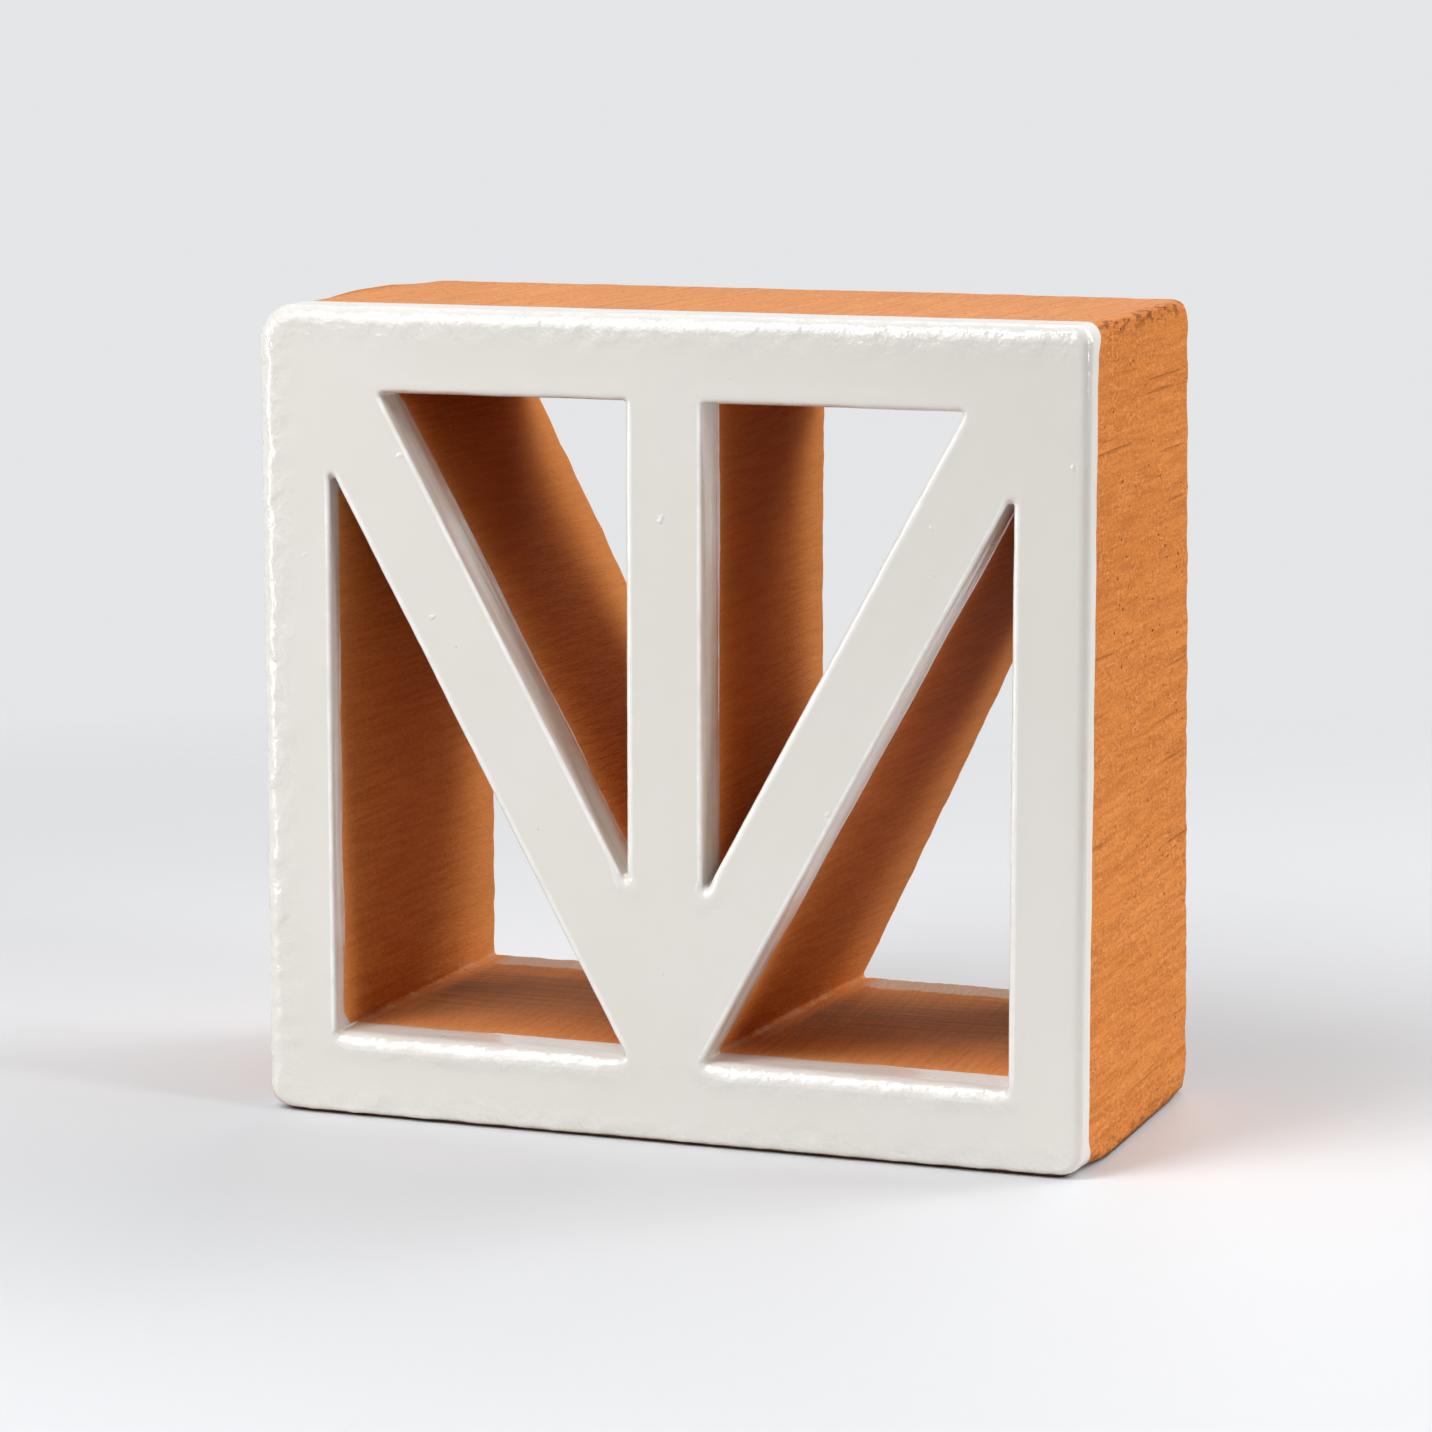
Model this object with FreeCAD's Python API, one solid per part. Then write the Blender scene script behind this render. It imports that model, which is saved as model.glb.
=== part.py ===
import FreeCAD, Part
import math
import os

# Decorative screen block: one block of fired clay, open from front to back.
# A frame of two stiles and two rails holds an upright bar in the middle, and a
# brace on each side climbs from the foot of the bar to the frame's top corner,
# so that the openings between them are four right-angled triangles.
# Millimetres. X runs along the block, Y from the front face to the back, Z up.
# The origin is the middle of the underside.

# Driving dimensions of the block
width = 200.0
height = 190.0
depth = 95.0

# Members, each seen from the front
stile = 18.0  # sides of the frame
rail = 20.0  # top and bottom of the frame
upright = 17.5  # middle bar
brace = 18.5  # slanting bars, measured square to their length

# Rounded edges
outline_corner = 6.0  # corners of the block, seen from the front
face_edge = 5.0  # edge all round the front face, worn soft before glazing
back_edge = 1.5  # edge all round the back face
opening_corner = 1.5  # corners of the openings, seen from the front
mouth_edge = 2.0  # edge of each opening at the front face
back_mouth_edge = 1.0  # edge of each opening at the back face

# Worked out from the sizes above
front_y = -depth / 2
back_y = depth / 2
inner_x = width / 2 - stile
floor_z = rail
ceiling_z = height - rail

# The middle line of a brace runs from the floor's centre to the frame's inner top corner.
lean = inner_x / (ceiling_z - floor_z)
brace_half_level = brace / 2 * math.hypot(1, lean)
brace_half_plumb = brace_half_level / lean

overrun = 5.0  # how far an opening's cutter stands out of the block
tolerance = 0.001


def prism(outline, corner_radius, start_y, length):
    """Carries an outline of (x, z) corners along Y and rounds the edges that run with it."""
    corners = [FreeCAD.Vector(x, start_y, z) for x, z in outline]
    face = Part.Face(Part.makePolygon(corners + corners[:1]))
    solid = face.extrude(FreeCAD.Vector(0, length, 0))
    long_edges = [edge for edge in solid.Edges if edge.BoundBox.YLength > length / 2]
    return solid.makeFillet(corner_radius, long_edges)


def whole_block():
    """The block before it is pierced, with rounded corners."""
    side = width / 2
    outline = [(-side, 0), (side, 0), (side, height), (-side, height)]
    return prism(outline, outline_corner, front_y, depth)


def lower_triangle(side):
    """Opening between a stile, the floor and the brace that leans over it."""
    return [
        (side * brace_half_level, floor_z),
        (side * inner_x, floor_z),
        (side * inner_x, ceiling_z - brace_half_plumb),
    ]


def upper_triangle(side):
    """Opening between the upright bar, the ceiling and the brace below it."""
    bar_x = upright / 2
    brace_top_at_bar = floor_z + bar_x / lean + brace_half_plumb
    return [
        (side * bar_x, ceiling_z),
        (side * (inner_x - brace_half_level), ceiling_z),
        (side * bar_x, brace_top_at_bar),
    ]


def cut_openings(block):
    """Cuts the four triangles through the block, a lower and an upper one on each side."""
    for side in (-1, 1):
        for outline in (lower_triangle(side), upper_triangle(side)):
            cutter = prism(outline, opening_corner, front_y - overrun, depth + 2 * overrun)
            block = block.cut(cutter)
    return block


def flat_face(block, y):
    """The flat face that lies in the plane at y."""
    for face in block.Faces:
        box = face.BoundBox
        if box.YLength < tolerance and abs(box.YMin - y) < tolerance:
            return face
    raise ValueError("no flat face at this depth")


def round_outer_edge(block, y, radius):
    """Rounds the edge between the face at y and the block's outer sides."""
    return block.makeFillet(radius, flat_face(block, y).OuterWire.Edges)


def round_mouths(block, y, radius):
    """Rounds the edge of every opening where it meets the face at y."""
    face = flat_face(block, y)
    mouths = [wire for wire in face.Wires if not wire.isSame(face.OuterWire)]
    edges = [edge for wire in mouths for edge in wire.Edges]
    return block.makeFillet(radius, edges)


screen_block = cut_openings(whole_block())
screen_block = round_outer_edge(screen_block, front_y, face_edge)
screen_block = round_mouths(screen_block, front_y, mouth_edge)
screen_block = round_outer_edge(screen_block, back_y, back_edge)
screen_block = round_mouths(screen_block, back_y, back_mouth_edge)

os.makedirs("parts", exist_ok=True)
screen_block.exportStep("parts/screen_block.step")
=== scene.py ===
"""Decorative screen block of fired clay with a white glazed face, on a pale studio floor."""
import math
from typing import NamedTuple

import bmesh
import bpy
import numpy as np
from mathutils import Matrix, Vector
from mathutils.geometry import delaunay_2d_cdt


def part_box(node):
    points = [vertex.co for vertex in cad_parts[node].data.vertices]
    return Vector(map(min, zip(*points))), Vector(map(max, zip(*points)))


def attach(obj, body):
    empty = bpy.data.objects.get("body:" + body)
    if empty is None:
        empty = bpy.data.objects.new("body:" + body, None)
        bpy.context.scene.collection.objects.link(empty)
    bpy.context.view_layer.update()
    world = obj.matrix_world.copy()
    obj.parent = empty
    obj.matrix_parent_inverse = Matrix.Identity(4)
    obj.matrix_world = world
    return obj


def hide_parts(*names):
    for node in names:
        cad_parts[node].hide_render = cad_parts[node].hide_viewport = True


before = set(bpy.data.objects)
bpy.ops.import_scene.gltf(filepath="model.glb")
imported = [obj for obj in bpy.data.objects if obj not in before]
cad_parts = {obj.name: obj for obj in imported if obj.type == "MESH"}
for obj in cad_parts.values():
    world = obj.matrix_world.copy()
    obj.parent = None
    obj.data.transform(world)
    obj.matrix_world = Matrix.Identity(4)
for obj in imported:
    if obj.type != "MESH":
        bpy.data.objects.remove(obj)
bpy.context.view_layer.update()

# Sizes are in millimetres until a mesh is made. Y is counted from the front face while shaping.
MM = 0.001
lowest, highest = (np.array(corner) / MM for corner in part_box("screen_block"))
width, depth, height = highest - lowest
front_y = lowest[1]

# Members, as in the solid
stile = 18.0
rail = 20.0
upright = 17.5
brace = 18.5

# Worked out from them, as in the solid
inner_x = width / 2 - stile
floor_z = rail
ceiling_z = height - rail
lean = inner_x / (ceiling_z - floor_z)
brace_half_level = brace / 2 * math.hypot(1, lean)

# Corners, seen from the front: bottom left, bottom right, top right, top left
block_corner_radii = (6.5, 6.0, 4.5, 8.5)
opening_corner = 0.5
pointed = 0.25  # how far a mouth's corner is drawn out towards a sharp point
lower_openings = (1, 3)  # places of the lower triangles in the list of outlines

# How far the hand-cut openings stray from the drawing, left side first
stile_stray = (0.7, 0.0)
bar_stray = (0.0, 1.3)
brace_underside_stray = (1.2, 0.6)
brace_topside_stray = (2.9, 0.9)

# How far the corners of each opening have wandered at the back of the block, as (across, up): lower
# and upper left, then lower and upper right, with the corners in the order in which they are drawn
back_wander = (
    ((0.0, 0.9), (1.6, 0.9), (1.6, -2.9)),
    ((0.0, 0.0), (-2.4, 0.0), (0.0, -14.0)),
    ((8.4, 2.3), (0.0, 2.0), (0.0, 5.7)),
    ((-2.7, 0.0), (0.0, 0.0), (-2.7, -5.0)),
)
right_lean = 2.5  # how far the right side leans in at its top back corner

# Which way an edge faces, by the share of its normal that points there
square_on = 0.99
facing = 0.9
aslant = 0.3
tolerance = 0.001

# Glaze: how softly it rounds the edges of the block and of the mouths
top_edge = 4.0
left_edge = 5.0
right_edge = 3.0
bottom_edge = 1.6
right_mouth_edge = 1.0
left_mouth_edge = 1.8
ceiling_edge = 1.8
sill_edge = 3.8
tightest = 0.8  # most of the top right corner's own rounding that its edge may take

# Glaze: how far it runs back from the face
dip_outside = 11.5
dip_right = 5.4
dip_inside = 12.0
dip_stile = 5.6
slow_stray = 0.3  # how far its end strays, slowly and quickly
quick_stray = 0.1

# Glaze: its surface and its lip
lip = 0.35
face_dip = 0.25  # how far the face lies behind the front plane, before its swells
swell = 0.06  # height of the slow swells
ripple = 0.02
edge_lump = 0.09  # height of the short lumps by the edges
fine_lump = 0.8  # the finest lumps, as a share of it
wall_calm = 0.8  # share of the lumps that is gone down the walls
lumpy_least = 0.3  # share of the lumps left where the glaze is smoothest
lumps_reach = (4.5, 2.5)  # how far they reach over the face from the block's edge and from a mouth
foot_gap = 0.6  # how far the glaze ends above the floor
brim = 0.35  # width of the whiter line on the face beside a mouth: thick glaze with painted highlight
bead_width = 3.0  # the hollow beside each opening's edge lies this far from it
bead_height = 0.06
lip_thick = 0.7  # how white the lip is, thick glaze with painted highlight, as a share of its edge

# Clay: it lies a little lower than the glaze, deeper under it, and its back edges are worn
clay_set_back = 0.25
clay_dip = 0.12  # how far its surface lies in, before its hollows
pressed = 0.06  # height of the slow hollows of pressing
drag_height = 0.03
drag_length = 0.12  # places along the depth are drawn together to this share, so the drag runs along it
under_glaze = 1.2
clay_lap = 0.35  # how far the bare clay reaches in under the glaze's end
foot_cover = 0.1  # at the foot, the clay under the glaze lies this much higher than the bare clay
back_edge = 3.5
back_mouth_edge = 2.0
worn_wave = 0.12  # how unevenly the back edges are worn, as a share
sill_worn = 0.5  # how much more the sills are worn, as a share
worn_least = 0.5
worn_most = 5.0

# Hidden sides: where the clay starts under the glaze, and where the glaze ends within the clay
clay_front = 1.0
glaze_buried = under_glaze + 0.3
tuck = 0.6  # how far a hidden side is drawn in at its front, as a share of the edge's rounding
glaze_hidden_from = 1.0  # behind the edge's rounding
glaze_hidden_to = 0.4  # before the glaze's end
clay_hidden_from = 0.6
clay_hidden_least = 0.7
clay_hidden_to = 1.2

# Painted light and shade on the openings' walls: painted light behind the glaze and at the back, painted
# shade between
painted_light_reach = 5.5
painted_light_back = 0.65  # share of the depth from which the back has painted light
shade_heights = (0.35, 0.65)  # the painted shade on the lower openings' walls deepens between these shares of the height
shade_shares = (0.15, 0.75)
dust_and_sheen_inside = 0.4  # dust and painted sheen on a sill, as a share of that on the block's top
seam_width = 1.0
sill_ends = (1.5, 6.0)  # a sill's own marks fade in between these distances from its corners
painted_sill_shade_middle = 0.60  # the band of painted shade with dark lines across a sill, in shares of the depth
painted_sill_shade_width = 0.28
sill_pale_band = 12.5  # the pale band on a sill starts this far from the back
sill_bare = 2.8  # and stops this far from it
pale_band_soft = 1.4  # width over which it comes in
bare_soft = 1.0  # and over which it goes

# The long corners of the clay grow sharp behind the glaze, in the order above: by this share of their
# rounding, and within this share of the depth
sharper = (0.0, 0.75, 0.60, 0.85)
sharp_by = (0.25, 0.25, 0.25, 0.65)
sharp_from = 0.08
blunt_back = (0.0, 0.35, 0.9, 0.5)  # share of the squareness that is worn off again at the back
blunt_from = 0.80

# Spacing of the points of the meshes
glaze_step = 1.1
clay_step = 1.6
clay_row = 2.2
row_share = 0.866  # distance of the rows in a field of even triangles, as a share of the step
clear_share = 0.6  # the field keeps this far from its rim, as a share of the step
seam_gap = 0.004  # points nearer than this are merged

# Rows of points in a profile: round the glaze's edge, down its wall, over its lip, round the clay's back
bend_rows = 11
wall_rows = 9
rim_rows = 5
back_rows = 6


class Outline(NamedTuple):
    """Closed outline: points as (x, z), unit normals into the clay, and how far an offset is drawn out."""

    points: np.ndarray
    into: np.ndarray
    reach: np.ndarray


def rounded_outline(corners, radii, step):
    """Straight runs joined by arcs that touch both sides of each corner, anticlockwise.

    Gives points about a step apart, their outward normals, and for each point the length that an
    offset needs there to keep the corner as sharp as a mitre (1 on the straight runs).
    """
    corners, radii = np.array(corners, float), np.broadcast_to(radii, len(corners))
    ahead = np.roll(corners, -1, axis=0) - corners
    onward = np.roll(ahead, -1, axis=0)
    if (ahead[:, 0] * onward[:, 1] - ahead[:, 1] * onward[:, 0]).sum() < 0:
        return rounded_outline(corners[::-1], radii[::-1], step)
    length = np.hypot(ahead[:, 0], ahead[:, 1])
    ahead = ahead / length[:, None]
    behind = np.roll(ahead, 1, axis=0)
    turn = np.arctan2(behind[:, 0] * ahead[:, 1] - behind[:, 1] * ahead[:, 0], (behind * ahead).sum(1))
    cut = radii * np.tan(turn / 2)
    points, normals, reach = [], [], []
    for i, corner in enumerate(corners):
        out = np.array([behind[i][1], -behind[i][0]])
        share = np.linspace(0, 1, max(9, round(radii[i] * turn[i] / step)))
        angle = math.atan2(out[1], out[0]) + turn[i] * share
        around = np.stack([np.cos(angle), np.sin(angle)], 1)
        points.append(corner - behind[i] * cut[i] - out * radii[i] + around * radii[i])
        normals.append(around)
        reach.append(1 + (1 / math.cos(turn[i] / 2) - 1) * (1 - np.abs(2 * share - 1)))
        run = length[i] - cut[i] - cut[(i + 1) % len(corners)]
        along = np.linspace(0, run, max(2, round(run / step)) + 1)[1:-1, None]
        points.append(corner + ahead[i] * (cut[i] + along))
        normals.append(np.tile([ahead[i][1], -ahead[i][0]], (len(along), 1)))
        reach.append(np.ones(len(along)))
    return np.concatenate(points), np.concatenate(normals), np.concatenate(reach)


def block_corners():
    """Corners of the whole block, seen from the front."""
    side = width / 2
    return [(-side, 0), (side, 0), (side, height), (-side, height)]


def opening_corners():
    """Corners of the four triangles: under and over the brace on each side of the upright bar."""
    triangles = []
    for hand, side in enumerate((-1, 1)):
        bar_x = upright / 2 + bar_stray[hand]
        wall_x = inner_x - stile_stray[hand]
        under = brace_half_level - brace_underside_stray[hand]
        over = brace_half_level + brace_topside_stray[hand]
        triangles.append([
            (side * under, floor_z),
            (side * wall_x, floor_z),
            (side * wall_x, floor_z + (wall_x - under) / lean),
        ])
        triangles.append([
            (side * bar_x, ceiling_z),
            (side * (inner_x - over), ceiling_z),
            (side * bar_x, floor_z + (bar_x + over) / lean),
        ])
    return triangles


def outlines(step):
    """Every outline: the block's own first, then the openings'."""
    points, outward, _ = rounded_outline(block_corners(), block_corner_radii, step)
    loops = [Outline(points, -outward, np.ones(len(points)))]
    for corners in opening_corners():
        points, outward, reach = rounded_outline(corners, opening_corner, step)
        loops.append(Outline(points, outward, 1 + pointed * (reach - 1)))
    return loops


def wander(points, corners, shifts):
    """Shifts that carry a triangle's corners by the given amounts and run evenly between them."""
    share = np.linalg.solve(np.c_[corners, np.ones(3)].T, np.c_[points, np.ones(len(points))].T)
    return share.T @ np.array(shifts)


def even_out(values, spread):
    """Running mean round a closed loop."""
    return sum(np.roll(values, shift) for shift in range(-spread, spread + 1)) / (2 * spread + 1)


def waves(points, wavelength, seed, count=16):
    """Smooth unevenness of about one wavelength: a sum of plane waves of random heading and phase."""
    rng = np.random.default_rng(seed)
    heading = rng.normal(size=(count, points.shape[-1]))
    heading /= np.linalg.norm(heading, axis=1)[:, None]
    pitch = wavelength * rng.uniform(0.7, 1.5, count)
    phase = rng.uniform(0, 2 * math.pi, count)
    turns = points @ (heading * (2 * math.pi / pitch)[:, None]).T
    return np.sin(turns + phase).sum(-1) / math.sqrt(count)


def smooth_step(low, high, value):
    """Rises from 0 at low to 1 at high along a smooth curve."""
    t = np.clip((value - low) / (high - low), 0, 1)
    return t * t * (3 - 2 * t)


def toward(pointing, keen=4):
    """Share of a normal that points one way, 0 where it points away, falling faster the keener it is."""
    return np.clip(pointing, 0, 1) ** keen


def carry(loop, offset, behind, tilt):
    """Profile carried along an outline.

    Each row lies at an offset into the clay and a distance behind the front face. Its normal is
    tilted from the front (0) through the wall (a quarter turn) to the back (a half turn).
    """
    flat = loop.points + loop.into * (loop.reach * offset)[..., None]
    place = np.stack([flat[..., 0], behind, flat[..., 1]], -1)
    side = -loop.into * np.sin(tilt)[..., None]
    normal = np.stack([side[..., 0], -np.cos(tilt), side[..., 1]], -1)
    return place, normal


def grid_faces(rows, columns):
    """Quads of a grid whose columns close on themselves."""
    row, column = np.meshgrid(np.arange(rows - 1), np.arange(columns), indexing="ij")
    after = (column + 1) % columns
    quads = np.stack([row * columns + column, row * columns + after,
                      (row + 1) * columns + after, (row + 1) * columns + column], -1)
    return quads.reshape(-1, 4)


def within(points, loop):
    """Which points lie inside a closed loop: a ray from each crosses it an odd number of times."""
    after = np.roll(loop, -1, axis=0)
    x, z = points[:, :1], points[:, 1:]
    spans = (loop[:, 1] > z) != (after[:, 1] > z)
    rise = np.where(after[:, 1] == loop[:, 1], 1, after[:, 1] - loop[:, 1])
    crossing = loop[:, 0] + (z - loop[:, 1]) / rise * (after[:, 0] - loop[:, 0])
    return (spans & (x < crossing)).sum(1) % 2 == 1


def between(points, loops):
    """Which points lie inside the first loop and outside the others."""
    inside = within(points, loops[0])
    for loop in loops[1:]:
        inside &= ~within(points, loop)
    return inside


def square_gaps(points, loop):
    """Squared distances from every point to every point of a loop."""
    return ((points[:, None].astype(np.float32) - loop[None].astype(np.float32)) ** 2).sum(-1)


def flat_fill(loops, step):
    """Flat patch between the block's loop and the openings' loops.

    A grid of staggered points is clipped to the loops and joined to them by triangles. A step of
    None joins the loops alone.
    """
    points = np.concatenate(loops)
    if step:
        low, high = loops[0].min(0), loops[0].max(0)
        across, up = np.arange(low[0], high[0], step), np.arange(low[1], high[1], step * row_share)
        x, z = np.meshgrid(across, up)
        x[1::2] += step / 2
        grid = np.stack([x.ravel(), z.ravel()], 1)
        grid = grid[between(grid, loops)]
        for loop in loops:
            gap = square_gaps(grid, loop).min(1)
            grid = grid[gap > (clear_share * step) ** 2]
        points = np.concatenate([points, grid])
    edges, start = [], 0
    for loop in loops:
        index = np.arange(len(loop))
        edges.append(np.stack([index, (index + 1) % len(loop)], 1) + start)
        start += len(loop)
    edges = np.concatenate(edges)
    flat, _, faces, _, _, _ = delaunay_2d_cdt(points.tolist(), edges.tolist(), [], 0, 1e-5)
    flat = np.array([tuple(point) for point in flat])
    faces = np.array(faces)
    return flat, faces[between(flat[faces].mean(1), loops)]


def at_depth(flat, behind):
    """Points (x, z) of a flat patch, set at a distance behind the front plane."""
    return np.stack([flat[:, 0], np.full(len(flat), behind), flat[:, 1]], 1)


def patch(place, normal, faces, relief, **marks):
    """A piece of skin: points sunk by the relief against their normals, faces, and the finish's marks."""
    place, normal = place.reshape(-1, 3), normal.reshape(-1, 3)
    sunk = place - normal * np.reshape(relief, (-1, 1))
    marks = {name: np.broadcast_to(np.reshape(mark, -1), len(place)) for name, mark in marks.items()}
    return sunk, faces, marks


def skin(name, patches, material):
    """Joins patches into one closed mesh in the block's frame, seams merged and faces outward."""
    points = np.concatenate([place for place, _, _ in patches])
    points[:, 1] += front_y
    faces, start = [], 0
    for place, index, _ in patches:
        faces.extend((index + start).tolist())
        start += len(place)
    mesh = bpy.data.meshes.new(name)
    mesh.from_pydata((points * MM).tolist(), [], faces)
    for mark in patches[0][2]:
        values = np.concatenate([marks[mark] for _, _, marks in patches])
        mesh.attributes.new(mark, "FLOAT", "POINT").data.foreach_set("value", values.astype(np.float32))
    work = bmesh.new()
    work.from_mesh(mesh)
    bmesh.ops.remove_doubles(work, verts=work.verts, dist=seam_gap * MM)
    bmesh.ops.recalc_face_normals(work, faces=work.faces)
    work.to_mesh(mesh)
    work.free()
    mesh.shade_smooth()
    mesh.materials.append(material)
    piece = bpy.data.objects.new(name, mesh)
    bpy.context.scene.collection.objects.link(piece)
    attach(piece, "root")
    return piece


def nearest_corner(loop):
    """For each point of the block's outline, the corner its normal leans to, counted as above."""
    x, z = -loop.into.T
    return np.select([(x <= 0) & (z < 0), (x > 0) & (z < 0), x > 0], [0, 1, 2], 3)


def in_corners(loop, *shares):
    """A share for each corner in order, full in the middle of its rounding and 0 on the straight runs."""
    bend = 2 * np.abs(loop.into[:, 0] * loop.into[:, 1])
    return bend * np.array(shares)[nearest_corner(loop)]


def edge_radius(loop, is_block):
    """How softly the glaze rounds each point of an outline, by the way its edge faces."""
    x, z = -loop.into.T
    if is_block:
        radius = (top_edge * toward(z, 2) + bottom_edge * toward(-z, 2)
                  + right_edge * toward(x, 2) + left_edge * toward(-x, 2))
        tight = (x > 0) & (z > 0) & (x * z > tolerance)
        tightened = np.minimum(radius, tightest * min(block_corner_radii))
        return even_out(np.where(tight, tightened, radius), 6)
    radius = np.where(x < -aslant, left_mouth_edge, right_mouth_edge)
    return even_out(np.select([z > facing, z < -facing], [sill_edge, ceiling_edge], radius), 4)


def dip_depth(loop, is_block):
    """How far the glaze runs back from the face: less on the right side and the stiles' inner sides."""
    x = -loop.into[:, 0]
    if is_block:
        return even_out(np.where(x > facing, dip_right, dip_outside), 4)
    on_stile = (np.abs(x) > square_on) & (np.abs(loop.points[:, 0]) > inner_x / 2)
    return even_out(np.where(on_stile, dip_stile, dip_inside), 3)


def lumpiness(loop, is_block):
    """How lumpy the glaze is: most round the block but for its right side, and on the sills."""
    if is_block:
        return 1 - (1 - lumpy_least) * even_out(toward(-loop.into[:, 0]), 6)
    return lumpy_least + (1 - lumpy_least) * even_out(toward(-loop.into[:, 1]), 3)


def glaze_relief(place, lumpy):
    """How far the glaze's surface dips: slow swells and ripples, with short lumps by the edges."""
    slow = swell * waves(place, wavelength=38.0, seed=11) + ripple * waves(place, wavelength=11.0, seed=12)
    lumps = waves(place, wavelength=7.0, seed=13) + fine_lump * waves(place, wavelength=3.6, seed=14)
    return np.clip(face_dip + slow + lumpy * (edge_lump * lumps), 0.0, None)


def face_shape(flat, loops, lumpy_loops):
    """For points of the face: how lumpy they are, and how deep they lie in the hollow beside an opening."""
    lumpy, hollow = np.zeros(len(flat)), np.zeros(len(flat))
    for number, (loop, along) in enumerate(zip(loops, lumpy_loops)):
        square = square_gaps(flat, loop)
        nearest = square.argmin(1)
        square = np.take_along_axis(square, nearest[:, None], 1)[:, 0]
        reach = lumps_reach[min(number, 1)]
        lumpy = np.maximum(lumpy, along[nearest] * np.exp(-square / reach ** 2))
        if number:
            ratio = square / bead_width ** 2
            hollow = np.maximum(hollow, ratio * np.exp(1 - ratio))
    return lumpy, hollow


def thin_edges(loop, is_block):
    """How thin the glaze is drawn over an edge: most on the ceilings, and under the block's foot."""
    x, z = -loop.into.T
    if is_block:
        return 0.5 * toward(-z) + 0.2 * toward(x) + in_corners(loop, 0.8, 0.0, 0.0, 0.0)
    return even_out(np.where(z < -facing, 1.0, 0.0), 2)


def thick_edges(loop, is_block):
    """How much whiter the glaze is, as thick glaze with painted highlight: on the block's top, and on a
    mouth's edges that face right.
    """
    x, z = -loop.into.T
    if is_block:
        return 0.6 * toward(z)
    corner, sill, ceiling, leftward = loop.reach > 1 + tolerance, z > facing, z < -facing, x < -aslant
    return even_out(np.select([corner, sill, ceiling, leftward], [0.0, 0.3, 0.0, 0.6], 1.0), 2)


def thin_walls(loop):
    """How thin the glaze runs out along a mouth's wall: most on the walls that face right."""
    x, z = -loop.into.T
    return even_out(np.select([z > facing, x < aslant], [0.25, 0.5], 1.0), 2)


def dip_end(loop, number):
    """The wandering line at which the glaze ends, as a distance behind the front plane."""
    slow = waves(loop.points, wavelength=26.0, seed=20 + number)
    quick = waves(loop.points, wavelength=7.0, seed=40 + number)
    return dip_depth(loop, number == 0) + (slow * slow_stray + quick * quick_stray)


def stack_rows(columns, *sections):
    """Joins sections of a profile, each an (offset, distance behind, tilt), into whole arrays."""
    rows = [
        [np.broadcast_to(part, (len(section[0]), columns)) for part in section]
        for section in sections
    ]
    return (np.concatenate(parts) for parts in zip(*rows))


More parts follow.
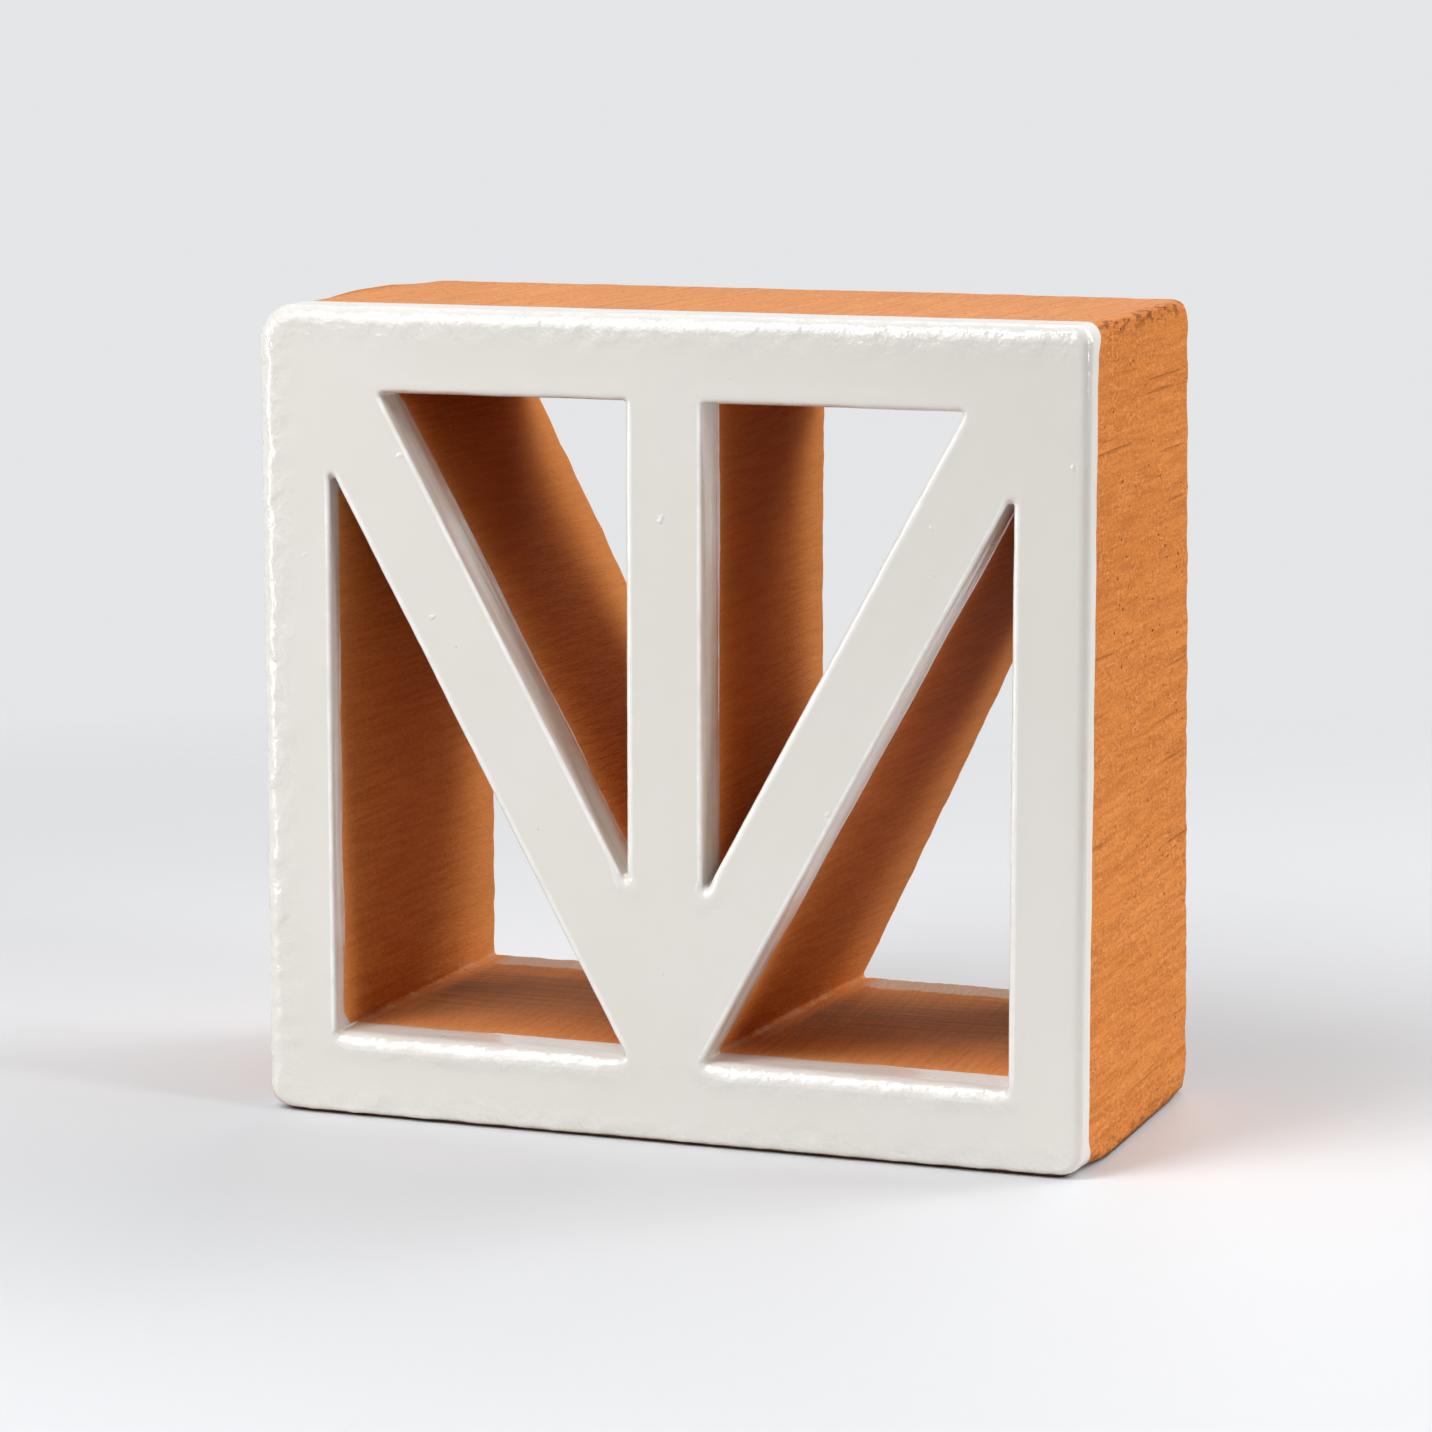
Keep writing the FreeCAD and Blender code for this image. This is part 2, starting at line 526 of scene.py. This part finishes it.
def glaze_coat(material):
    """White coat: the front face, its rounded edges, and a band into every opening and round the sides."""
    patches, front_loops, hidden_loops, lumpy_loops = [], [], [], []
    for number, loop in enumerate(outlines(glaze_step)):
        is_block = number == 0
        radius = edge_radius(loop, is_block)[None]
        end = dip_end(loop, number)[None]

        turn = np.linspace(0, math.pi / 2, bend_rows)[:, None]
        flat = (radius + brim, 0 * radius, 0.0)
        bend = (radius * (1 - np.sin(turn)), radius * (1 - np.cos(turn)), turn)
        share = np.linspace(0, 1, wall_rows)[1:, None]
        wall = (0 * share, radius + share * (end - lip - radius), math.pi / 2)
        curl = np.linspace(0, math.pi / 2, rim_rows)[1:, None]
        rim = (lip * (1 - np.cos(curl)), end - lip + lip * np.sin(curl), math.pi / 2 + curl)
        span = np.concatenate([end - glaze_hidden_to, radius + glaze_hidden_from])
        hidden = (np.full((2, 1), glaze_buried), span, math.pi)
        inner = (tuck * radius + glaze_buried, glaze_buried + 0 * radius, math.pi)
        offset, behind, tilt = stack_rows(len(loop.points), flat, bend, wall, rim, hidden, inner)
        if is_block:
            offset = offset + foot_gap * toward(loop.into[:, 1])
        place, normal = carry(loop, offset, behind, tilt)

        edge = 1 + len(turn)
        shown = edge + len(share)
        lumpy = lumpiness(loop, is_block) * (1 - wall_calm * smooth_step(0.8, 1.5, tilt[:shown]))
        relief = np.zeros(offset.shape)
        relief[:shown] = glaze_relief(place[:shown], lumpy)
        relief[edge:shown] *= np.linspace(1, 0, len(share))[:, None]
        thin, thick, lump = np.zeros((3, *offset.shape))
        lump[:shown] = lumpy
        thin[1:edge] = thin_edges(loop, is_block) * np.sin(2 * turn) ** 4
        # Thick glaze with painted highlight: whiter over the block's top edge and band, on the mouths' edges
        # that face right, and on the lip
        thick[1:edge] = thick_edges(loop, is_block) * (np.sin(turn) if is_block else np.cos(turn))
        thick[shown:shown + len(curl)] = lip_thick * thick_edges(loop, is_block)
        if is_block:
            thick[edge:shown] = thick_edges(loop, is_block)
        else:
            drained = 0.5 * np.exp(-((share - 0.2) / 0.2) ** 2) + smooth_step(0.3, 1.0, share)
            thin[edge:shown] = thin_walls(loop) * drained
        marks = {"thin": thin, "thick": thick, "lump": lump}
        patches.append(patch(place, normal, grid_faces(*offset.shape), relief, **marks))
        front_loops.append(place[0][:, [0, 2]])
        hidden_loops.append(place[-1][:, [0, 2]])
        lumpy_loops.append(lumpy[0])

    flat, faces = flat_fill(front_loops, glaze_step)
    place = at_depth(flat, 0.0)
    normal = np.tile([0.0, -1.0, 0.0], (len(flat), 1))
    lumpy, hollow = face_shape(flat, front_loops, lumpy_loops)
    relief = glaze_relief(place, lumpy) + bead_height * hollow
    patches.append(patch(place, normal, faces, relief, thin=0.0, thick=0.0, lump=lumpy))
    flat, faces = flat_fill(hidden_loops, None)
    place = at_depth(flat, glaze_buried)
    patches.append(patch(place, 0 * place, faces, 0.0, thin=0.0, thick=0.0, lump=0.0))
    return skin("glaze_coat", patches, material)


def clay_relief(place):
    """How far the clay dips: slow hollows of hand pressing and drag along the depth."""
    drawn_out = place * np.array([1.0, drag_length, 1.0])
    pressing = pressed * waves(place, wavelength=55.0, seed=31)
    drag = drag_height * waves(drawn_out, wavelength=9.0, seed=32)
    return np.clip(clay_dip + pressing + drag, 0.0, None)


def sill_marks(loop, number):
    """Marks on a lower opening's walls: the seam in the sill's corners, and the sill itself."""
    if number not in lower_openings:
        return np.zeros(len(loop.points)), np.zeros(len(loop.points))
    on_sill = loop.into[:, 1] < -square_on
    ends = loop.points[on_sill]
    corners = np.array([ends[ends[:, 0].argmin()], ends[ends[:, 0].argmax()]])
    gap = np.linalg.norm(loop.points[:, None] - corners[None], axis=-1).min(1)
    return np.exp(-(gap / seam_width) ** 2), np.where(on_sill, smooth_step(*sill_ends, gap), 0.0)


def sharpened(loop, behind):
    """How far the round corners grow along their normals, to become nearly square towards the back."""
    x, z = np.abs(loop.into.T)
    corner = nearest_corner(loop)
    radius, share, by = (np.array(values)[corner] for values in (block_corner_radii, sharper, sharp_by))
    grow = radius * share * (1 / np.maximum(x, z) - 1)
    blunt = np.array(blunt_back)[corner] * smooth_step(blunt_from * depth, depth - back_edge, behind)
    return grow * smooth_step(sharp_from * depth, by * depth, behind) * (1 - blunt)


def worn_edge(loop, number):
    """How far the back edge is worn along an outline, unevenly, and more on the sills of the openings."""
    is_block = number == 0
    worn = back_edge if is_block else back_mouth_edge
    slow = worn_wave * waves(loop.points, wavelength=9.0, seed=60 + number)
    quick = worn_wave * waves(loop.points, wavelength=4.0, seed=70 + number)
    sill_side = (not is_block) * toward(-loop.into[:, 1])
    worn = worn * (1 + slow + quick)
    return np.clip(worn * (1 + sill_worn * even_out(sill_side, 2)), worn_least, worn_most)


def painted_wall_light_and_shade(place, behind, end, number):
    """Painted light and shade on an opening's walls: painted light behind the glaze and at the back, painted
    shade between, growing with height in the lower openings.
    """
    painted_wall_light = np.maximum(np.exp(-np.clip(behind - end, 0, None) / painted_light_reach),
                       smooth_step(painted_light_back * depth, depth, behind))
    if number not in lower_openings:
        return painted_wall_light, 1 - painted_wall_light
    return painted_wall_light, (1 - painted_wall_light) * np.interp(place[..., 2], np.array(shade_heights) * height, shade_shares)


def clay_body(material):
    """Fired clay: the outer sides, the walls of the openings and the back, closed under the glaze."""
    patches, back_loops, hidden_loops = [], [], []
    for number, loop in enumerate(outlines(clay_step)):
        is_block = number == 0
        radius = edge_radius(loop, is_block)[None]
        end = dip_end(loop, number)[None]
        worn = worn_edge(loop, number)[None]
        foot = is_block * toward(loop.into[:, 1])

        inner = (tuck * radius + under_glaze, clay_front + 0 * radius, math.pi / 2)
        sunk = under_glaze + (clay_set_back + foot_cover - under_glaze) * foot
        last = np.maximum(radius + clay_hidden_least, end - clay_hidden_to)
        under = (np.tile(sunk, (2, 1)), np.concatenate([radius + clay_hidden_from, last]), math.pi / 2)
        share = np.linspace(0, 1, round(depth / clay_row))[:, None]
        along = end - clay_lap + share * (depth - worn - end + clay_lap)
        wall = (clay_set_back + 0 * share, along, math.pi / 2)
        turn = np.linspace(0, math.pi / 2, back_rows)[1:, None]
        drawn_in = clay_set_back + worn * (1 - np.cos(turn))
        bend = (drawn_in, depth - worn * (1 - np.sin(turn)), math.pi / 2 + turn)
        offset, behind, tilt = stack_rows(len(loop.points), inner, under, wall, bend)
        if is_block:
            offset = offset - clay_set_back * foot - sharpened(loop, behind)
        place, normal = carry(loop, offset, behind, tilt)
        if is_block:
            rightward = np.clip(place[..., 0] / (width / 2), 0, 1)
            place[..., 0] -= right_lean * rightward * place[..., 2] / height * behind / depth
        else:
            shift = wander(loop.points, opening_corners()[number - 1], back_wander[number - 1])
            place[..., [0, 2]] += np.clip((behind - end) / (depth - end), 0, 1)[..., None] * shift
        relief = clay_relief(place)
        relief[:len(inner[0]) + len(under[0])] = 0.0

        seam, sill = sill_marks(loop, number)
        # Painted light behind the glaze and at the back of an opening's walls, and painted shade between
        painted_wall_light, deep = (0.0, 0.0) if is_block else painted_wall_light_and_shade(place, behind, end, number)
        marks = {
            "seam": seam,
            "sill": sill,
            # Painted shade with dark lines across the middle of a sill's depth
            "painted_sill_shade": sill * np.exp(-((behind / depth - painted_sill_shade_middle) / painted_sill_shade_width) ** 2),
            "outer": float(is_block),
            "chips": in_corners(loop, 0.0, 0.5, 0.75, 0.0) if is_block else 0.0,
            "painted_wall_light": painted_wall_light,
            "deep": deep,
            # Dust and painted sheen on surfaces that face up
            "dust_and_sheen": (1.0 if is_block else dust_and_sheen_inside) * toward(normal[..., 2], 8),
        }
        marks = {name: np.broadcast_to(mark, offset.shape) for name, mark in marks.items()}
        patches.append(patch(place, normal, grid_faces(*offset.shape), relief, **marks))
        hidden_loops.append(place[0][:, [0, 2]])
        back_loops.append(place[-1][:, [0, 2]])

    flat, faces = flat_fill(back_loops, clay_row)
    place = at_depth(flat, depth)
    normal = np.tile([0.0, 1.0, 0.0], (len(flat), 1))
    marks = dict.fromkeys(marks, 0.0)
    patches.append(patch(place, normal, faces, clay_relief(place), **marks | {"outer": 1.0}))
    flat, faces = flat_fill(hidden_loops, None)
    place = at_depth(flat, clay_front)
    patches.append(patch(place, 0 * place, faces, 0.0, **marks))
    return skin("clay_body", patches, material)


class Finish:
    """A material built node by node around one Principled shader."""

    def __init__(self, name):
        self.material = bpy.data.materials.new(name)
        self.material.use_nodes = True
        self.tree = self.material.node_tree
        self.shader = self.tree.nodes["Principled BSDF"]
        self.place = self.add("ShaderNodeTexCoord").outputs["Object"]

    def add(self, kind, inputs=(), **settings):
        """A node with its settings, and its inputs set to numbers or linked to sockets."""
        node = self.tree.nodes.new(kind)
        for name, value in settings.items():
            setattr(node, name, value)
        for name, value in dict(inputs).items():
            if isinstance(value, bpy.types.NodeSocket):
                self.tree.links.new(value, node.inputs[name])
            else:
                node.inputs[name].default_value = value
        return node

    def stretched(self, scale):
        """Object coordinates scaled apart along the three axes."""
        return self.add("ShaderNodeMapping", {"Vector": self.place, "Scale": scale}).outputs["Vector"]

    def noise(self, size, detail=3.0, rough=0.55, place=None):
        """Cloudy variation about a size in millimetres, from 0 to 1."""
        node = self.add("ShaderNodeTexNoise", {"Vector": place or self.place, "Scale": 1 / (size * MM),
                                               "Detail": detail, "Roughness": rough})
        return node.outputs["Fac"]

    def spread(self, value, low, high, start=0.0, end=1.0):
        """A value's range from low to high, carried to start and end."""
        node = self.add("ShaderNodeMapRange", {"Value": value, "From Min": low, "From Max": high,
                                               "To Min": start, "To Max": end})
        return node.outputs["Result"]

    def reckon(self, kind, first, second):
        """Arithmetic of two values."""
        return self.add("ShaderNodeMath", {0: first, 1: second}, operation=kind).outputs[0]

    def times(self, first, second):
        """One value multiplied by another."""
        return self.reckon("MULTIPLY", first, second)

    def larger(self, first, second):
        """The larger of two values."""
        return self.reckon("MAXIMUM", first, second)

    def blend(self, share, first, second):
        """One colour over another by a share."""
        node = self.add("ShaderNodeMix", data_type="RGBA")
        for name, value in (("Factor", share), ("A", first), ("B", second)):
            socket = [s for s in node.inputs if s.name == name and s.type in ("VALUE", "RGBA")]
            socket = socket[0] if name == "Factor" else socket[-1]
            if isinstance(value, bpy.types.NodeSocket):
                self.tree.links.new(value, socket)
            else:
                socket.default_value = value if name == "Factor" else (*value, 1.0)
        return [s for s in node.outputs if s.type == "RGBA"][0]

    def jittered(self, place, size, amount):
        """Coordinates pushed about by an amount, in millimetres, over a size."""
        cloud = self.add("ShaderNodeTexNoise", {"Vector": place, "Scale": 1 / (size * MM), "Detail": 1.0})
        centred = {0: cloud.outputs["Color"], 1: (0.5, 0.5, 0.5)}
        push = self.add("ShaderNodeVectorMath", centred, operation="SUBTRACT")
        push = self.add("ShaderNodeVectorMath", {0: push.outputs[0], "Scale": amount * MM}, operation="SCALE")
        return self.add("ShaderNodeVectorMath", {0: place, 1: push.outputs[0]}).outputs[0]

    def specks(self, size, share, soft=0.10, core=0.06, place=None):
        """Small round specks in some cells of a mosaic, from 0 to 1 at their middle."""
        cells = self.add("ShaderNodeTexVoronoi", {"Vector": place or self.place, "Scale": 1 / (size * MM)})
        near = self.spread(cells.outputs["Distance"], soft + core, core)
        colour = self.add("ShaderNodeSeparateColor", {"Color": cells.outputs["Color"]}).outputs[0]
        return self.times(near, self.reckon("LESS_THAN", colour, share))

    def bump(self, height, millimetres, under=None):
        """Relief of a height in millimetres, over another relief."""
        inputs = {"Height": height, "Distance": millimetres * MM, "Strength": 1.0}
        if under:
            inputs["Normal"] = under
        return self.add("ShaderNodeBump", inputs).outputs["Normal"]

    def mark(self, name):
        """A number that each point of the mesh carries for its finish."""
        return self.add("ShaderNodeAttribute", attribute_name=name).outputs["Fac"]

    def axis(self, name):
        """One of the object coordinates, in metres."""
        return self.add("ShaderNodeSeparateXYZ", {0: self.place}).outputs[name]

    def fade(self, share):
        """Lets the surface go clear by a share."""
        clear = self.add("ShaderNodeBsdfTransparent")
        mix = self.add("ShaderNodeMixShader", {0: share, 1: self.shader.outputs[0], 2: clear.outputs[0]})
        self.tree.links.new(mix.outputs[0], self.tree.nodes["Material Output"].inputs["Surface"])

    def set(self, **inputs):
        """Links or sets the shader's own inputs, spelled with underscores for spaces."""
        for name, value in inputs.items():
            socket = self.shader.inputs[name.replace("_", " ")]
            if isinstance(value, bpy.types.NodeSocket):
                self.tree.links.new(value, socket)
            else:
                socket.default_value = value


def fired_clay():
    """Terracotta: warm orange body with mottling, drag lines along the depth, grains and open pores."""
    clay = Finish("fired_clay")
    dragged = clay.stretched((1.0, 0.30, 1.0))
    mottle = clay.noise(30.0, 4.0, 0.55, dragged)
    streaks = clay.noise(1.5, 4.0, 0.65, clay.stretched((1.0, 0.06, 1.0)))
    grain = clay.noise(0.5, 3.0, 0.65, dragged)
    uneven = clay.jittered(clay.stretched((1.0, 0.5, 1.0)), 0.7, 1.0)
    pitted = clay.spread(clay.mark("outer"), 0.0, 1.0, 0.12, 1.0)
    rough = clay.times(clay.spread(clay.noise(11.0, 2.0), 0.42, 0.60, 0.15, 1.0), pitted)
    pores = clay.times(clay.specks(2.8, 0.45, 0.07, 0.06, uneven), pitted)
    fine_pores = clay.times(clay.specks(1.7, 0.40, 0.12, 0.08, uneven), rough)
    crumbled = clay.spread(clay.noise(1.6, 3.0, 0.6, dragged), 0.50, 0.62)
    chips = clay.times(crumbled, clay.mark("chips"))
    strokes = clay.noise(0.8, 1.0, 0.5, clay.jittered(clay.stretched((1.0, 0.38, 1.0)), 3.0, 1.2))
    ridges = clay.times(clay.spread(strokes, 0.55, 0.66), rough)
    grooves = clay.times(clay.spread(strokes, 0.44, 0.34), rough)
    scratches = clay.spread(clay.noise(1.8, 1.0, 0.5, clay.stretched((1.0, 0.016, 1.0))), 0.69, 0.75)
    scratches = clay.times(scratches, pitted)

    # The sills: pale dashes in the corners, dark lines with painted shade across the middle, and a pale band
    # near the back
    dashes = clay.spread(clay.noise(6.0, 2.0), 0.44, 0.54, 0.0, 0.5)
    lines = clay.noise(1.6, 3.0, 0.6, clay.stretched((0.06, 1.0, 1.0)))
    painted_sill_shade = clay.times(clay.mark("painted_sill_shade"), clay.spread(lines, 0.35, 0.65, 0.45, 0.95))
    ragged = clay.spread(clay.noise(5.0, 3.0), 0.3, 0.7, -MM, MM)
    edge = clay.reckon("ADD", clay.axis("Y"), ragged)
    pale_band_from, bare_from = depth / 2 - sill_pale_band, depth / 2 - sill_bare
    pale_band = clay.spread(edge, pale_band_from * MM, (pale_band_from + pale_band_soft) * MM)
    bare = clay.spread(edge, bare_from * MM, (bare_from + bare_soft) * MM, 1.0, 0.25)
    pale_band = clay.times(clay.times(pale_band, bare), clay.mark("sill"))
    # Painted shade: a dark line along the clay's foot, just above the floor
    painted_foot_shade = clay.spread(clay.axis("Z"), 0.6 * MM, 1.6 * MM, 0.95, 0.0)

    # Each layer as its share and its tone, the lowest first
    layers = (
        (clay.spread(streaks, 0.40, 0.64, 0.0, 0.72), (0.480, 0.142, 0.028)),  # drag lines
        (clay.spread(grain, 0.52, 0.75, 0.0, 0.60), (0.800, 0.350, 0.110)),  # light grains
        (clay.spread(grain, 0.48, 0.28, 0.0, 0.60), (0.430, 0.120, 0.022)),  # dark grains
        (clay.times(clay.mark("deep"), 0.6), (0.420, 0.105, 0.010)),  # painted shade on the walls between front and back
        (clay.times(ridges, 0.26), (0.880, 0.450, 0.200)),
        (clay.times(grooves, 0.36), (0.360, 0.100, 0.020)),
        (clay.times(clay.mark("painted_wall_light"), 0.52), (0.880, 0.370, 0.110)),  # painted light on the walls, behind the glaze and at the back
        (clay.times(scratches, 0.35), (0.380, 0.105, 0.020)),
        (clay.times(fine_pores, 0.7), (0.330, 0.085, 0.014)),
        (clay.larger(pores, chips), (0.120, 0.030, 0.006)),
        (clay.times(clay.mark("seam"), dashes), (0.680, 0.400, 0.250)),
        # painted shade with dark lines across a sill
        (painted_sill_shade, (0.200, 0.095, 0.048)),
        (pale_band, (0.620, 0.450, 0.340)),
        # dust and painted sheen on surfaces that face up
        (clay.times(clay.mark("dust_and_sheen"), 0.18), (0.850, 0.580, 0.380)),
        (painted_foot_shade, (0.070, 0.035, 0.020)),  # painted shade, a dark line at the foot
    )
    colour = clay.blend(clay.spread(mottle, 0.3, 0.7), (0.625, 0.201, 0.040), (0.720, 0.258, 0.064))
    for share, tone in layers:
        colour = clay.blend(share, colour, tone)

    relief = clay.bump(grain, 0.16)
    relief = clay.bump(streaks, 0.40, relief)
    relief = clay.bump(clay.times(strokes, rough), 0.24, relief)
    hollows = clay.larger(clay.larger(scratches, chips), clay.larger(pores, fine_pores))
    relief = clay.bump(clay.reckon("SUBTRACT", 1.0, hollows), 0.25, relief)
    clay.set(Base_Color=colour, Normal=relief, Roughness=clay.spread(grain, 0.3, 0.7, 0.65, 0.80), IOR=1.12)
    return clay.material


def white_glaze():
    """Off-white glossy glaze: faint clouds of tone, pinholes and bumps, thin over the sharp edges."""
    glaze = Finish("white_glaze")
    cloud = glaze.noise(48.0, 3.0)
    tone = glaze.blend(glaze.spread(cloud, 0.3, 0.7), (0.735, 0.712, 0.655), (0.752, 0.716, 0.672))
    broken = glaze.spread(glaze.noise(9.0, 4.0, 0.7), 0.38, 0.60)
    runs = glaze.noise(1.8, 2.0, 0.55, glaze.stretched((0.05, 1.0, 0.05)))
    thin = glaze.times(glaze.mark("thin"), glaze.spread(broken, 0.0, 1.0, 0.45, 0.95))
    thin = glaze.times(thin, glaze.spread(runs, 0.40, 0.60, 0.35, 1.0))
    tone = glaze.blend(thin, tone, (0.590, 0.310, 0.180))
    # Thick glaze with painted highlight: whiter over the edges
    thick = glaze.times(glaze.mark("thick"), glaze.spread(broken, 0.0, 1.0, 0.45, 1.0))
    tone = glaze.blend(thick, tone, (0.950, 0.938, 0.912))
    pinholes = glaze.specks(5.0, 0.10, 0.03, 0.03)
    tone = glaze.blend(glaze.times(pinholes, 0.5), tone, (0.420, 0.330, 0.250))
    bubbles = glaze.specks(8.0, 0.08, 0.09, 0.03, glaze.jittered(glaze.place, 1.8, 2.0))
    relief = glaze.bump(glaze.noise(9.0, 2.0), 0.06)
    relief = glaze.bump(bubbles, 0.20, relief)
    ragged = glaze.times(glaze.noise(2.0, 3.0), glaze.mark("lump"))
    relief = glaze.bump(ragged, 0.35, relief)
    relief = glaze.bump(glaze.times(runs, glaze.mark("thin")), 0.25, relief)
    glaze.set(Base_Color=tone, Normal=relief, Roughness=0.06, IOR=1.62)
    return glaze.material


# Studio, in metres: the floor's disc, where it fades out, and the backdrop
floor_hub = 0.05
floor_reach = 0.70
floor_fade = (0.30, 0.62)
floor_spokes = 96
floor_rings = 40
backdrop_tone = (0.780, 0.788, 0.802, 1.0)
ambient_strength = 0.05


def studio_floor():
    """Pale floor: a disc that fades into the backdrop's tone towards its rim."""
    around = np.linspace(0, 2 * math.pi, floor_spokes, endpoint=False)
    turn, reach = np.meshgrid(around, np.linspace(floor_hub, floor_reach, floor_rings))
    points = np.stack([reach * np.cos(turn), reach * np.sin(turn), 0 * turn], -1).reshape(-1, 3)
    points = np.concatenate([points, np.zeros((1, 3))])
    spoke = np.arange(floor_spokes)
    hub = np.stack([spoke, (spoke + 1) % floor_spokes, np.full(floor_spokes, len(points) - 1)], 1)
    faces = grid_faces(floor_rings, floor_spokes)[:, ::-1].tolist() + hub.tolist()
    mesh = bpy.data.meshes.new("studio_floor")
    mesh.from_pydata(points.tolist(), [], faces)
    paper = Finish("pale_paper")
    flecks = paper.spread(paper.noise(2.0), 0.3, 0.7, 0.0, 0.03)
    tone = paper.blend(flecks, (0.716, 0.728, 0.748), (0.58, 0.59, 0.61))
    paper.set(Base_Color=tone, Roughness=0.6, IOR=1.3)
    reach = paper.add("ShaderNodeVectorMath", {0: paper.place}, operation="LENGTH").outputs["Value"]
    paper.fade(paper.spread(reach, *floor_fade))
    mesh.materials.append(paper.material)
    floor = bpy.data.objects.new("studio_floor", mesh)
    bpy.context.scene.collection.objects.link(floor)


def softbox(name, place, target, size, radiance):
    """Rectangular lamp at a place, facing a target, with an even glow of the given radiance."""
    lamp = bpy.data.lights.new(name, "AREA")
    lamp.shape = "RECTANGLE"
    lamp.size, lamp.size_y = size
    lamp.energy = radiance * math.pi * size[0] * size[1]
    holder = bpy.data.objects.new(name, lamp)
    holder.location = place
    holder.rotation_euler = (Vector(target) - Vector(place)).to_track_quat("-Z", "Y").to_euler()
    holder.visible_camera = False
    bpy.context.scene.collection.objects.link(holder)


def studio_light():
    """Softbox overhead, low strip on the left, two lamps high on the right, front fill, glow behind."""
    middle = (0.0, 0.0, 0.09)
    softbox("overhead", (-0.36, -0.60, 1.00), (-0.03, -0.05, 0.1), (0.45, 0.85), 7.2)
    softbox("left", (-0.74, -0.46, 0.16), (0.0, -0.46, 0.16), (0.22, 0.66), 6.0)
    softbox("right", (0.98, 0.58, 0.76), middle, (0.60, 0.90), 4.5)
    softbox("right_strip", (1.30, -0.30, 0.55), middle, (0.24, 1.00), 9.2)
    softbox("front_fill", (-0.70, -1.30, 0.75), middle, (0.90, 0.80), 2.5)
    softbox("back_glow", (0.5, 1.40, 1.40), middle, (2.20, 0.80), 3.4)

    world = bpy.data.worlds.new("studio")
    bpy.context.scene.world = world
    world.use_nodes = True
    nodes, links = world.node_tree.nodes, world.node_tree.links
    ambient = nodes["Background"]
    ambient.inputs["Color"].default_value = (1.0, 1.0, 1.0, 1.0)
    ambient.inputs["Strength"].default_value = ambient_strength
    seen = nodes.new("ShaderNodeBackground")
    seen.inputs["Color"].default_value = backdrop_tone
    seen.inputs["Strength"].default_value = 1.0
    path = nodes.new("ShaderNodeLightPath")
    share = path.outputs["Is Camera Ray"]
    for ray in ("Is Glossy Ray", "Is Transmission Ray"):
        either = nodes.new("ShaderNodeMath")
        either.operation = "MAXIMUM"
        links.new(share, either.inputs[0])
        links.new(path.outputs[ray], either.inputs[1])
        share = either.outputs[0]
    mix = nodes.new("ShaderNodeMixShader")
    links.new(share, mix.inputs[0])
    links.new(ambient.outputs[0], mix.inputs[1])
    links.new(seen.outputs[0], mix.inputs[2])
    links.new(mix.outputs[0], nodes["World Output"].inputs["Surface"])


# Camera, as measured from the photograph's straight edges
picture_width = 1432
focal_length_pixels = 4786.0
camera_azimuth = math.radians(20.12)
camera_pitch = math.radians(9.02)
camera_place = (0.3788, -1.0447, 0.2687)


def photo_camera():
    """Camera to the block's right, looking back and down at it."""
    lens = bpy.data.cameras.new("photo_camera")
    lens.sensor_width = 36.0
    lens.lens = focal_length_pixels / picture_width * lens.sensor_width
    lens.clip_end = 200.0
    camera = bpy.data.objects.new("photo_camera", lens)
    camera.matrix_world = (Matrix.Translation(camera_place) @ Matrix.Rotation(camera_azimuth, 4, "Z")
                           @ Matrix.Rotation(math.pi / 2 - camera_pitch, 4, "X"))
    bpy.context.scene.collection.objects.link(camera)
    bpy.context.scene.camera = camera


body = clay_body(fired_clay())
coat = glaze_coat(white_glaze())
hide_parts("screen_block")
studio_floor()
studio_light()
photo_camera()
bpy.context.scene.view_settings.view_transform = "Standard"
